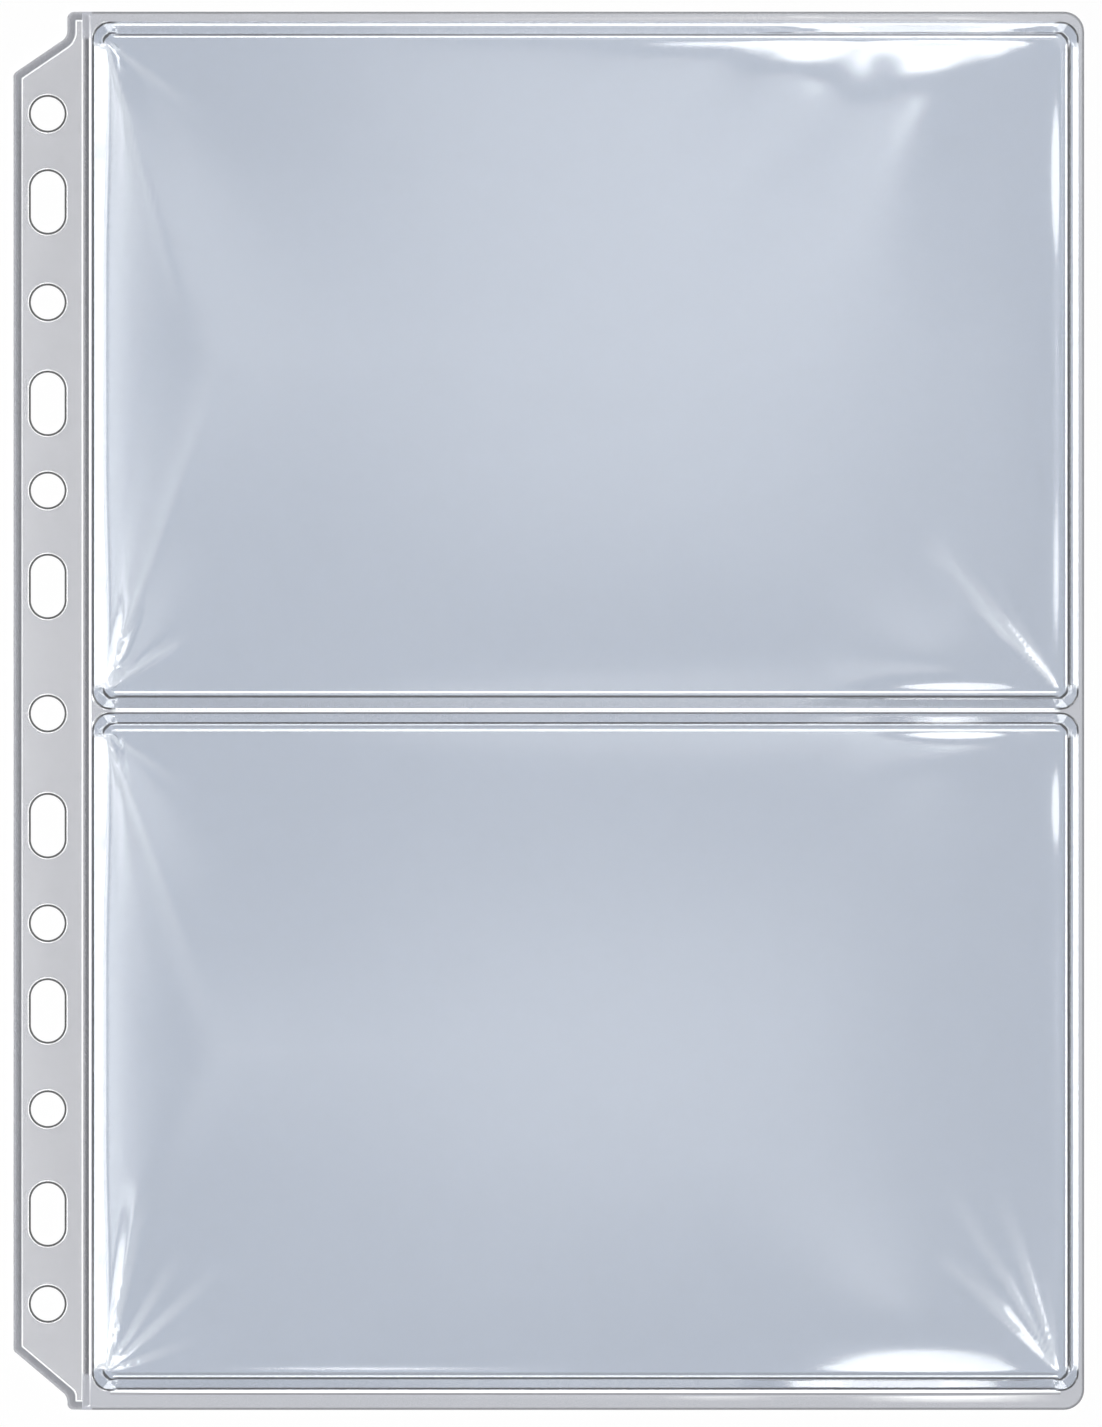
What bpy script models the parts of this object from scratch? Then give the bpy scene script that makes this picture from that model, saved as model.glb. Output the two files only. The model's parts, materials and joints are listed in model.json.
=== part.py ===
# A clear two-pocket album page with a punched binding strip, lying face up.
# X runs from the strip to the free edge, Y to the top of the page, Z out of its front.
# The origin is under the middle of the page, at the level it lies on.

import math

import bmesh
import bpy
from mathutils import Vector
from mathutils.geometry import delaunay_2d_cdt

MM = 0.001

# Pockets and the margins round them; the page's own width and height follow from these
POCKET_WIDTH = 177.8 * MM
UPPER_POCKET_HEIGHT = 124.0 * MM
LOWER_POCKET_HEIGHT = 122.3 * MM
POCKET_SPACING = 0.5 * MM
TOP_MARGIN = 1.8 * MM
BOTTOM_MARGIN = 3.4 * MM
RIGHT_MARGIN = 1.0 * MM
POCKET_CORNER_RADIUS = 3.3 * MM
PAGE_CORNER_RADIUS = 3.7 * MM

# Films and welds
FILM_THICKNESS = 0.18 * MM
WELD_THICKNESS = 0.18 * MM
WELD_WIDTH = 2.3 * MM
WELD_RETURN = 4.7 * MM  # how far a pocket weld comes round onto the mouth side
LAYER_GAP = 0.1 * MM  # between a film and what lies under it
SIDE_GAP = 0.15 * MM  # between pieces side by side

# The swell of an empty pocket's front film
CROWN_HEIGHT = 1.6 * MM
CROWN_RISE = 26.0 * MM  # from a weld to the level middle
LIP_RISE = 9.0 * MM  # from the mouth to the level middle

# Binding strip
STRIP_WIDTH = 12.4 * MM
SHOULDER_WIDTH = 2.7 * MM  # the full-height part beside the crease
SHOULDER_DROP_TOP = 4.6 * MM  # from the page's end to the slant
SHOULDER_DROP_BOTTOM = 2.5 * MM
SLANT_RISE_TOP = 6.6 * MM
SLANT_RISE_BOTTOM = 8.2 * MM
SHOULDER_RADIUS = 1.7 * MM
NECK_RADIUS = 2.0 * MM
TAB_CORNER_RADIUS = 1.2 * MM
EDGE_WELD_WIDTH = 1.45 * MM
EDGE_WELD_THICKNESS = 0.12 * MM

# Holes, each row given by its heights over the middle of the page
HOLE_DIAMETER = 6.4 * MM
SLOT_LENGTH = 11.4 * MM
HOLE_INSET = 6.2 * MM  # from the strip's outer edge to the middle of the holes
ROUND_HOLE_HEIGHTS = (107.6 * MM, 73.6 * MM, 39.7 * MM, -0.5 * MM, -38.3 * MM, -71.8 * MM, -106.9 * MM)
SLOT_HEIGHTS = (91.7 * MM, 55.4 * MM, 22.4 * MM, -20.7 * MM, -54.1 * MM, -90.7 * MM)

# Crease between strip and pockets
CREASE_WIDTH = 1.8 * MM
CREASE_RISE = 0.3 * MM
CREASE_END_INSET = 0.5 * MM

# Facets
CORNER_STEPS = 4
HOLE_STEPS = 24
CREASE_STEPS = 6
CROWN_STEPS = 4
SIDE_STEPS = 6
MERGE_DISTANCE = 1e-7
INSIDE_WITH_HOLES = 2  # the triangulation keeps what lies inside the edge and outside the holes

PAGE_WIDTH = STRIP_WIDTH + CREASE_WIDTH + POCKET_WIDTH + RIGHT_MARGIN
PAGE_HEIGHT = TOP_MARGIN + UPPER_POCKET_HEIGHT + POCKET_SPACING + LOWER_POCKET_HEIGHT + BOTTOM_MARGIN
LEFT, RIGHT = -PAGE_WIDTH / 2, PAGE_WIDTH / 2
BOTTOM, TOP = -PAGE_HEIGHT / 2, PAGE_HEIGHT / 2
STRIP_RIGHT = LEFT + STRIP_WIDTH
PANEL_LEFT = STRIP_RIGHT + CREASE_WIDTH
POCKET_RIGHT = PANEL_LEFT + POCKET_WIDTH
UPPER_TOP = TOP - TOP_MARGIN
LOWER_BOTTOM = BOTTOM + BOTTOM_MARGIN

# Levels of the layers above the one the page lies on
SECOND_LAYER = FILM_THICKNESS + LAYER_GAP
FRONT_LAYER = SECOND_LAYER + WELD_THICKNESS + LAYER_GAP
FRONT_TOP = FRONT_LAYER + FILM_THICKNESS

POCKET_COLOUR = (0.50, 0.55, 0.63)
STRIP_COLOUR = (0.53, 0.54, 0.57)
WELD_COLOUR = (0.45, 0.47, 0.54)
GLOSS = 0.15
SATIN = 0.3


def film_material(name, colour, roughness):
    material = bpy.data.materials.new(name)
    material.use_nodes = True
    shader = material.node_tree.nodes["Principled BSDF"]
    shader.inputs["Base Color"].default_value = (*colour, 1.0)
    shader.inputs["Roughness"].default_value = roughness
    shader.inputs["Metallic"].default_value = 0.0
    return material


def carry(piece, carrier):
    # The piece stays where it is and moves with its carrier from then on.
    bpy.context.view_layer.update()
    piece.parent = carrier
    piece.matrix_parent_inverse = carrier.matrix_world.inverted()


def add_piece(name, data, colour, roughness):
    piece = bpy.data.objects.new(name, data)
    bpy.context.collection.objects.link(piece)
    data.materials.append(film_material(name, colour, roughness))
    return piece


def joint_axis(name, place):
    # An empty on a joint's axis, for the pieces that turn with the joint.
    axis = bpy.data.objects.new(name, None)
    bpy.context.collection.objects.link(axis)
    axis.location = place
    axis.empty_display_size = CREASE_WIDTH
    return axis


def rounded(corners):
    # The line through (x, y, radius) corners, each turned into an arc that its sides have room for.
    points = [Vector((x, y, 0)) for x, y, _ in corners]
    line = []
    for i, point in enumerate(points):
        to_last = points[i - 1] - point
        to_next = points[(i + 1) % len(points)] - point
        radius = corners[i][2]
        if radius <= 0:
            line.append(point)
            continue
        half = to_last.angle(to_next) / 2
        reach = min(radius / math.tan(half), to_last.length / 2, to_next.length / 2)
        middle = (to_last.normalized() + to_next.normalized()).normalized()
        centre = point + middle * reach / math.cos(half)
        first_way = (point + to_last.normalized() * reach - centre).normalized()
        last_way = (point + to_next.normalized() * reach - centre).normalized()
        ways = [first_way.slerp(last_way, k / CORNER_STEPS) for k in range(CORNER_STEPS + 1)]
        line += [centre + way * reach * math.tan(half) for way in ways]
    return line


def drawn_in(corners, inset):
    # The same open line of corners, moved to its left by inset, with its arcs kept concentric.
    points = [Vector((x, y)) for x, y, _ in corners]
    ways = [(b - a).normalized() for a, b in zip(points, points[1:])]
    sides = [Vector((-way.y, way.x)) for way in ways]
    ends = [points[0] + sides[0] * inset, points[-1] + sides[-1] * inset]
    inner = []
    for i in range(1, len(points) - 1):
        before, after = sides[i - 1], sides[i]
        moved = points[i] + (before + after) * inset / (1 + before.dot(after))
        turn = math.copysign(inset, ways[i - 1].cross(ways[i]))
        inner.append((moved.x, moved.y, max(corners[i][2] - turn, 0)))
    return [(*ends[0], 0), *inner, (*ends[1], 0)]


def band(corners, width):
    # The outline of a band of that width along the left of an open line of corners.
    return rounded(corners) + rounded(drawn_in(corners, width))[::-1]


def slot_outline(x, y, width, length):
    # A slot along Y with round ends; a length equal to the width makes a round hole.
    reach = (length - width) / 2
    line = []
    for k in range(HOLE_STEPS):
        angle = 2 * math.pi * (k + 0.5) / HOLE_STEPS
        end = math.copysign(reach, math.sin(angle))
        line.append(Vector((x + width / 2 * math.cos(angle), y + end + width / 2 * math.sin(angle), 0)))
    return line


def add_sheet(name, mesh, thickness, colour, roughness):
    # A surface made into a film that lies under it.
    film = add_piece(name, mesh, colour, roughness)
    solid = film.modifiers.new("film", "SOLIDIFY")
    solid.thickness = thickness
    solid.offset = -1
    solid.use_even_offset = True
    return film


def flat_piece(name, outlines, bottom, thickness, colour, roughness):
    # A level film: the first outline is its edge, and the others are holes in it.
    points = []
    loops = []
    for outline in outlines:
        loops.append(range(len(points), len(points) + len(outline)))
        points += [point.xy for point in outline]
    places, _, faces, *_ = delaunay_2d_cdt(points, [], loops, INSIDE_WITH_HOLES, MERGE_DISTANCE)
    mesh = bpy.data.meshes.new(name)
    mesh.from_pydata([(*place, bottom + thickness) for place in places], [], faces)
    return add_sheet(name, mesh, thickness, colour, roughness)


def strip_corners():
    # The strip's edge from the crease's top round the slanted tab to the crease's bottom.
    neck = STRIP_RIGHT - SHOULDER_WIDTH
    top_slant = TOP - SHOULDER_DROP_TOP
    bottom_slant = BOTTOM + SHOULDER_DROP_BOTTOM
    return [
        (STRIP_RIGHT, TOP, 0),
        (neck, TOP, SHOULDER_RADIUS),
        (neck, top_slant, NECK_RADIUS),
        (LEFT, top_slant - SLANT_RISE_TOP, TAB_CORNER_RADIUS),
        (LEFT, bottom_slant + SLANT_RISE_BOTTOM, TAB_CORNER_RADIUS),
        (neck, bottom_slant, NECK_RADIUS),
        (neck, BOTTOM, SHOULDER_RADIUS),
        (STRIP_RIGHT, BOTTOM, 0),
    ]


def hole_outlines():
    # Every hole of the pattern that the straight outer edge of the strip has room beside.
    highest = TOP - SHOULDER_DROP_TOP - SLANT_RISE_TOP
    lowest = BOTTOM + SHOULDER_DROP_BOTTOM + SLANT_RISE_BOTTOM
    holes = []
    for heights, length in ((ROUND_HOLE_HEIGHTS, HOLE_DIAMETER), (SLOT_HEIGHTS, SLOT_LENGTH)):
        for y in heights:
            if lowest < y - length / 2 and y + length / 2 < highest:
                holes.append(slot_outline(LEFT + HOLE_INSET, y, HOLE_DIAMETER, length))
    return holes


def make_strip():
    edge = strip_corners()
    holes = hole_outlines()
    flat_piece("strip_back_film", [rounded(edge), *holes], 0, FILM_THICKNESS, STRIP_COLOUR, SATIN)
    front_edge = rounded(drawn_in(edge, EDGE_WELD_WIDTH + SIDE_GAP))
    flat_piece("strip_front_film", [front_edge, *holes], SECOND_LAYER, FILM_THICKNESS, STRIP_COLOUR, SATIN)
    rim = band(edge, EDGE_WELD_WIDTH)
    flat_piece("strip_edge_weld", [rim], SECOND_LAYER, EDGE_WELD_THICKNESS, WELD_COLOUR, SATIN)


def make_crease():
    # A thin arched web, drawn as its end face and pulled along the page.
    left, right = STRIP_RIGHT + SIDE_GAP, PANEL_LEFT - SIDE_GAP
    shares = [k / CREASE_STEPS for k in range(CREASE_STEPS + 1)]
    arch = [(left + (right - left) * t, LAYER_GAP + CREASE_RISE * math.sin(math.pi * t)) for t in shares]
    section = arch + [(x, z + FILM_THICKNESS) for x, z in reversed(arch)]
    mesh = bpy.data.meshes.new("crease_web")
    bm = bmesh.new()
    end = bm.faces.new([bm.verts.new((x, BOTTOM + CREASE_END_INSET, z)) for x, z in section])
    pulled = bmesh.ops.extrude_face_region(bm, geom=[end], use_keep_orig=True)
    moved = [part for part in pulled["geom"] if isinstance(part, bmesh.types.BMVert)]
    bmesh.ops.translate(bm, verts=moved, vec=(0, PAGE_HEIGHT - 2 * CREASE_END_INSET, 0))
    bmesh.ops.recalc_face_normals(bm, faces=bm.faces)
    bm.to_mesh(mesh)
    bm.free()
    add_piece("crease_web", mesh, WELD_COLOUR, GLOSS)


def smooth_step(share):
    share = min(max(share, 0), 1)
    return share * share * (3 - 2 * share)


def pocket_ring(bottom, top, inset):
    # A round-cornered rectangle drawn in from a front film's edge, with as many points at any inset.
    left, right = PANEL_LEFT + inset, POCKET_RIGHT - inset
    radius = POCKET_CORNER_RADIUS
    corners = [(right, top - inset), (left, top - inset), (left, bottom + inset), (right, bottom + inset)]
    arcs = rounded([(x, y, radius) for x, y in corners])
    count = CORNER_STEPS + 1
    ring = []
    for corner in range(len(corners)):
        ring += arcs[corner * count : (corner + 1) * count]
        last, following = ring[-1], arcs[(corner + 1) * count % len(arcs)]
        ring += [last.lerp(following, k / SIDE_STEPS) for k in range(1, SIDE_STEPS)]
    return ring


def crowned_height(point, bottom, top):
    # The film lies flat on the welds and falls to the mouth; between them it swells.
    height = CROWN_HEIGHT * smooth_step((point.x - PANEL_LEFT) / LIP_RISE)
    for distance in (top - point.y, point.y - bottom, POCKET_RIGHT - point.x):
        height *= smooth_step((distance - WELD_WIDTH) / CROWN_RISE)
    return height


def make_front_film(name, bottom, top, axis):
    insets = [0] + [WELD_WIDTH + CROWN_RISE * k / CROWN_STEPS for k in range(CROWN_STEPS + 1)]
    mesh = bpy.data.meshes.new(name)
    bm = bmesh.new()
    rings = []
    for inset in insets:
        ring = pocket_ring(bottom, top, inset)
        heights = [FRONT_TOP + crowned_height(point, bottom, top) for point in ring]
        rings.append([bm.verts.new((point.x, point.y, z)) for point, z in zip(ring, heights)])
    for outer, inner in zip(rings, rings[1:]):
        for k in range(len(outer)):
            bm.faces.new((outer[k - 1], outer[k], inner[k], inner[k - 1]))
    bm.faces.new(rings[-1])
    bm.to_mesh(mesh)
    bm.free()
    mesh.shade_smooth()
    carry(add_sheet(name, mesh, FILM_THICKNESS, POCKET_COLOUR, GLOSS), axis)


def make_pocket(pocket, bottom, top, panel_axis):
    # The weld runs from the mouth's lower corner round three sides to its upper corner.
    corners = [
        (PANEL_LEFT, bottom + WELD_RETURN, 0),
        (PANEL_LEFT, bottom, POCKET_CORNER_RADIUS),
        (POCKET_RIGHT, bottom, POCKET_CORNER_RADIUS),
        (POCKET_RIGHT, top, POCKET_CORNER_RADIUS),
        (PANEL_LEFT, top, POCKET_CORNER_RADIUS),
        (PANEL_LEFT, top - WELD_RETURN, 0),
    ]
    outline = band(corners, WELD_WIDTH)
    weld = flat_piece(pocket + "_pocket_weld", [outline], SECOND_LAYER, WELD_THICKNESS, WELD_COLOUR, GLOSS)
    carry(weld, panel_axis)
    mouth_axis = joint_axis(pocket + "_mouth_axis", (POCKET_RIGHT, (bottom + top) / 2, FRONT_TOP))
    carry(mouth_axis, panel_axis)
    make_front_film(pocket + "_front_film", bottom, top, mouth_axis)


def make_panel():
    axis = joint_axis("page_turn_axis", ((STRIP_RIGHT + PANEL_LEFT) / 2, 0, FILM_THICKNESS / 2))
    corners = [
        (PANEL_LEFT, TOP, 0),
        (PANEL_LEFT, BOTTOM, 0),
        (RIGHT, BOTTOM, PAGE_CORNER_RADIUS),
        (RIGHT, TOP, PAGE_CORNER_RADIUS),
    ]
    back = flat_piece("back_film", [rounded(corners)], 0, FILM_THICKNESS, POCKET_COLOUR, GLOSS)
    carry(back, axis)
    make_pocket("upper", UPPER_TOP - UPPER_POCKET_HEIGHT, UPPER_TOP, axis)
    make_pocket("lower", LOWER_BOTTOM, LOWER_BOTTOM + LOWER_POCKET_HEIGHT, axis)


for old in list(bpy.data.objects):
    bpy.data.objects.remove(old)
make_strip()
make_crease()
make_panel()
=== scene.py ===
import json
import math

import bpy
import numpy as np
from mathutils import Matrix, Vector
from mathutils.geometry import delaunay_2d_cdt


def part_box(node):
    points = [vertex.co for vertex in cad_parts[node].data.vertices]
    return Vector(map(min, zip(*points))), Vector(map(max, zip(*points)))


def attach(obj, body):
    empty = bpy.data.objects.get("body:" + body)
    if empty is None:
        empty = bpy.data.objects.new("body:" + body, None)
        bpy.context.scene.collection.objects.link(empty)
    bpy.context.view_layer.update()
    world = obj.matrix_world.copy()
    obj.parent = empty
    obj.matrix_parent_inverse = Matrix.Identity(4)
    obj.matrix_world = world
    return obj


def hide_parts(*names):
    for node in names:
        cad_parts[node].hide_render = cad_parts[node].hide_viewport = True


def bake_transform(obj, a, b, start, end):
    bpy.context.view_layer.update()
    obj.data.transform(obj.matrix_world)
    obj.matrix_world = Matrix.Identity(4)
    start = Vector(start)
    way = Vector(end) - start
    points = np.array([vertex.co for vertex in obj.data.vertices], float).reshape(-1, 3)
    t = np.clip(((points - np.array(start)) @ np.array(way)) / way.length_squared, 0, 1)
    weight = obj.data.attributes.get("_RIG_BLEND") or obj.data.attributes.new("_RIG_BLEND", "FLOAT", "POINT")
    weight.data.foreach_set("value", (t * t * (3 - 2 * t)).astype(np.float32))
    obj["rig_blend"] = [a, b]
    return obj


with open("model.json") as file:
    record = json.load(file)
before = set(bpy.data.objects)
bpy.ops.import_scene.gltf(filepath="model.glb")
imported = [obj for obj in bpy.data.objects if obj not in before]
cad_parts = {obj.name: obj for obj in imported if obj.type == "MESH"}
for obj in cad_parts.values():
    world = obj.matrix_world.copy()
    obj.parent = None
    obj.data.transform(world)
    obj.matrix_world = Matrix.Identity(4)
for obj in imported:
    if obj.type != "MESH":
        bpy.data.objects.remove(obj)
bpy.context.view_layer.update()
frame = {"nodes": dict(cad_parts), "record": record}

mm = 0.001
print("frame loaded:", sorted(frame["nodes"]))

# where the layers lie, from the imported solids
stripLow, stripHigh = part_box("strip_back_film")
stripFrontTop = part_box("strip_front_film")[1].z
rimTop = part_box("strip_edge_weld")[1].z
creaseLow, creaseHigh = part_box("crease_web")
backLow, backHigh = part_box("back_film")
pockets = {
    "upper": {"film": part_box("upper_front_film"), "weld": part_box("upper_pocket_weld")},
    "lower": {"film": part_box("lower_front_film"), "weld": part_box("lower_pocket_weld")},
}
filmThickness = backHigh.z - backLow.z


class Wire:
    # one shader socket; sums written with it add Math nodes to its tree
    def __init__(self, tree, socket=None):
        self.tree = tree
        self.socket = socket

    def node(self, kind, settings=None, sockets=None, out=0):
        made = self.tree.nodes.new(kind)
        for name, value in (settings or {}).items():
            setattr(made, name, value)
        for name, value in (sockets or {}).items():
            if isinstance(value, Wire):
                self.tree.links.new(value.socket, made.inputs[name])
            else:
                made.inputs[name].default_value = value
        return Wire(self.tree, made.outputs[out] if made.outputs else None)

    def maths(self, operation, first, second):
        return self.node("ShaderNodeMath", {"operation": operation}, {0: first, 1: second})

    def __add__(self, other):
        return self.maths("ADD", self, other)

    def __sub__(self, other):
        return self.maths("SUBTRACT", self, other)

    def __mul__(self, other):
        return self.maths("MULTIPLY", self, other)

    def __rsub__(self, other):
        return self.maths("SUBTRACT", other, self)

    __radd__ = __add__
    __rmul__ = __mul__

    def clamp(self):
        return self.node("ShaderNodeClamp", None, {"Value": self})

    def blend(self, first, second):
        # a colour between two colours, by this value; the numbers are the Mix node's colour sockets
        return self.node("ShaderNodeMix", {"data_type": "RGBA"}, {0: self, 6: first, 7: second}, 2)


def newMaterial(name):
    material = bpy.data.materials.new(name)
    material.use_nodes = True
    material.node_tree.nodes.clear()
    return material, Wire(material.node_tree)


def filmMaterial(name, look):
    # clear vinyl film: tinted, glossy, a little cloudy, with faint drawing lines and rub marks
    material, start = newMaterial(name)
    place = start.node("ShaderNodeTexCoord", out="Object")
    drawn = start.node("ShaderNodeMapping", None, {"Vector": place, "Scale": look["drawScale"]})
    cloud, grain, lines = (
        start.node("ShaderNodeTexNoise", None, {"Vector": at, "Scale": scale, "Detail": detail})
        for at, (scale, detail) in ((place, look["cloud"]), (place, look["grain"]), (drawn, look["lines"]))
    )
    # these two marks paint light into the tint: dark lines of painted shade and white painted highlights
    paintedShade = start.node("ShaderNodeAttribute", {"attribute_name": "paintedShade"}, out="Fac")
    paintedHighlight = start.node("ShaderNodeAttribute", {"attribute_name": "paintedHighlight"}, out="Fac")
    tint = (cloud * look["cloudShare"]).clamp().blend((*look["tint"], 1), (*look["cloudTint"], 1))
    # painted shade darkens the tint along the first mark, painted highlights turn it white along the second
    tint = paintedShade.clamp().blend(tint, (*look["paintedShadeTint"], 1))
    tint = paintedHighlight.clamp().blend(tint, (1, 1, 1, 1))
    rough = look["rough"] + cloud * look["cloudRough"] + lines * look["lineRough"]
    height = grain * look["grainShare"] + lines * look["lineShare"]
    normal = start.node("ShaderNodeBump", None, {
        "Height": height, "Strength": look["bump"], "Distance": look["bumpDepth"],
    })
    shader = start.node("ShaderNodeBsdfPrincipled", None, {
        "Base Color": tint, "Roughness": rough, "Normal": normal,
        "IOR": look["ior"], "Transmission Weight": 1.0,
    })
    shade = start.node("ShaderNodeBsdfTransparent", None, {"Color": (*look["shade"], 1)})
    lampRay = start.node("ShaderNodeLightPath", out="Is Shadow Ray")  # lamps shine on through the film
    both = start.node("ShaderNodeMixShader", None, {0: lampRay, 1: shader, 2: shade})
    start.node("ShaderNodeOutputMaterial", None, {"Surface": both})
    return material


# cloud, grain and lines are the scale and detail of the film's three noises
# the darkest tint colours the lines of painted shade
filmLook = {
    "tint": (0.598, 0.626, 0.674), "cloudTint": (0.618, 0.646, 0.694), "paintedShadeTint": (0.06, 0.063, 0.072),
    "shade": (0.93, 0.935, 0.945), "rough": 0.09, "ior": 1.75,
    "cloud": (14.0, 3.0), "cloudShare": 0.6, "cloudRough": 0.03,
    "grain": (900.0, 2.0), "grainShare": 0.6,
    "lines": (60.0, 4.0), "drawScale": (1.0, 14.0, 1.0), "lineShare": 0.4, "lineRough": 0.02,
    "bump": 0.012, "bumpDepth": 0.02 * mm,
}
pocketFilm = filmMaterial("pocketFilm", filmLook)
backFilm = filmMaterial("backFilm", filmLook | {
    "tint": (0.58, 0.615, 0.668), "cloudTint": (0.595, 0.63, 0.682),
})
marginFilm = filmMaterial("marginFilm", filmLook | {
    "tint": (0.392, 0.403, 0.433), "cloudTint": (0.44, 0.447, 0.477), "paintedShadeTint": (0.16, 0.165, 0.18),
    "rough": 0.16,
})
stripFilm = filmMaterial("stripFilm", filmLook | {
    "tint": (0.585, 0.588, 0.606), "cloudTint": (0.61, 0.613, 0.63), "paintedShadeTint": (0.06, 0.062, 0.07),
    "rough": 0.2, "grain": (1400.0, 2.0), "bump": 0.05, "lineRough": 0.01,
})
rimFilm = filmMaterial("rimFilm", filmLook | {
    "tint": (0.37, 0.38, 0.415), "cloudTint": (0.44, 0.45, 0.485), "paintedShadeTint": (0.13, 0.135, 0.155),
    "rough": 0.2, "cloud": (60.0, 3.0), "cloudShare": 1.0,
})
weldFilm = filmMaterial("weldFilm", filmLook | {
    "tint": (0.92, 0.92, 0.925), "cloudTint": (0.96, 0.96, 0.965),
})
# the crease film's darker tint is painted shade along the crease
creaseFilm = filmMaterial("creaseFilm", filmLook | {
    "tint": (0.37, 0.38, 0.42), "cloudTint": (0.43, 0.438, 0.47), "paintedShadeTint": (0.068, 0.071, 0.085),
    "rough": 0.12, "cloud": (40.0, 3.0),
})
cutEdge = filmMaterial("cutEdge", filmLook | {
    "tint": (0.2, 0.21, 0.24), "cloudTint": (0.26, 0.27, 0.3), "rough": 0.3,
})
print("materials made")

# how all films are drawn: least corner radius, when points merge or lie on a line, degrees that stay sharp
drawing = {"leastRadius": 0.1 * mm, "merge": 1e-7, "touch": 1e-9, "sharpAngle": 9}


# outlines are lists of (x, y, radius) corners, anticlockwise
def roundedLoop(corners, steps):
    line = []
    points = [Vector((x, y)) for x, y, _ in corners]
    for i, point in enumerate(points):
        toLast = points[i - 1] - point
        toNext = points[(i + 1) % len(points)] - point
        radius = corners[i][2]
        if radius <= 0:
            line.append(point)
            continue
        half = toLast.angle(toNext) / 2
        reach = min(radius / math.tan(half), toLast.length / 2, toNext.length / 2)
        middle = (toLast.normalized() + toNext.normalized()).normalized()
        centre = point + middle * reach / math.cos(half)
        first = point + toLast.normalized() * reach - centre
        last = point + toNext.normalized() * reach - centre
        turn = math.atan2(first.x * last.y - first.y * last.x, first.dot(last))
        for k in range(steps + 1):
            angle = turn * k / steps
            c, s = math.cos(angle), math.sin(angle)
            line.append(centre + Vector((first.x * c - first.y * s, first.x * s + first.y * c)))
    return line


def drawnIn(corners, inset):
    moved = []
    points = [Vector((x, y)) for x, y, _ in corners]
    for i, point in enumerate(points):
        before = (point - points[i - 1]).normalized()
        after = (points[(i + 1) % len(points)] - point).normalized()
        sideBefore, sideAfter = Vector((-before.y, before.x)), Vector((-after.y, after.x))
        place = point + (sideBefore + sideAfter) * inset / (1 + sideBefore.dot(sideAfter))
        turn = math.copysign(inset, before.x * after.y - before.y * after.x)
        radius = corners[i][2]
        moved.append((place.x, place.y, max(radius - turn, drawing["leastRadius"]) if radius > 0 else 0))
    return moved


def openInset(corners, inset):
    # the same edge drawn in, but not along the side that closes it, on which its ends slide
    inner = drawnIn(corners, inset)
    first, last = Vector(corners[0][:2]), Vector(corners[-1][:2])
    slide = (last - first).normalized() * inset
    inner[0] = (*(first + slide), 0)
    inner[-1] = (*(last - slide), 0)
    return inner


def slotLoop(x, y, width, length, steps):
    reach = (length - width) / 2
    loop = []
    for k in range(steps):
        angle = 2 * math.pi * (k + 0.5) / steps
        end = math.copysign(reach, math.sin(angle))
        loop.append(Vector((x + width / 2 * math.cos(angle), y + end + width / 2 * math.sin(angle))))
    return loop


def insideLoop(loop, places):
    xs, ys = places[:, 0], places[:, 1]
    inside = np.zeros(len(places), bool)
    for (ax, ay), (bx, by) in zip(loop, loop[1:] + loop[:1]):
        if ay == by:
            continue
        crosses = (ay > ys) != (by > ys)
        inside ^= crosses & (xs < (bx - ax) * (ys - ay) / (by - ay) + ax)
    return inside


def loopSurface(name, loops, holes, zones=()):
    # a level surface stepped by its loops; each loop is (points, z, painted shade, painted highlight)
    points, edges, facts = [], [], []
    for loop, z, paintedShade, paintedHighlight in loops + [ring for hole in holes for ring in hole]:
        first = len(points)
        points += loop
        edges += [(first + k, first + (k + 1) % len(loop)) for k in range(len(loop))]
        values = [np.broadcast_to(value, len(loop)) for value in (z, paintedShade, paintedHighlight)]
        facts += np.column_stack(values).tolist()
    places, _, faces, origins, *_ = delaunay_2d_cdt(points, edges, [], 0, drawing["merge"])
    flat = np.array(places)
    facts = np.array([facts[origin[0]] for origin in origins])
    faces = np.array(faces)
    middles = flat[faces].mean(axis=1)
    kept = insideLoop(loops[0][0], middles)
    for hole in holes:
        kept &= ~insideLoop(hole[0][0], middles)
    faces, middles = faces[kept], middles[kept]
    mesh = bpy.data.meshes.new(name)
    mesh.from_pydata(np.column_stack([flat, facts[:, 0]]).tolist(), [], faces.tolist())
    setMarks(mesh, facts[:, 1], facts[:, 2])
    slots = np.zeros(len(faces), np.int32)
    for zone, slot in zones:
        slots[insideLoop(zone, middles)] = slot
    mesh.polygons.foreach_set("material_index", slots)
    return mesh


def ribbonSurface(name, rows):
    # a surface swept between lines of as many points; each row is (points, z, painted shade, painted
    # highlight)
    count = len(rows[0][0])
    places, facts, faces = [], [], []
    for row, (line, z, paintedShade, paintedHighlight) in enumerate(rows):
        places.append(np.column_stack(np.broadcast_arrays(*np.array(line).T, z)))
        facts.append(np.column_stack([np.broadcast_to(paintedShade, count), np.broadcast_to(paintedHighlight, count)]))
        if row:
            first = (row - 1) * count
            faces += [(k, k + 1, k + count + 1, k + count) for k in range(first, first + count - 1)]
    mesh = bpy.data.meshes.new(name)
    mesh.from_pydata(np.concatenate(places).tolist(), [], faces)
    setMarks(mesh, *np.concatenate(facts).T)
    return mesh


def setMarks(mesh, paintedShade, paintedHighlight):
    # the painted shade and painted highlight marks, kept as point attributes
    for title, values in (("paintedShade", paintedShade), ("paintedHighlight", paintedHighlight)):
        mark = mesh.attributes.new(title, "FLOAT", "POINT")
        mark.data.foreach_set("value", np.asarray(values, np.float32))


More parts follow.
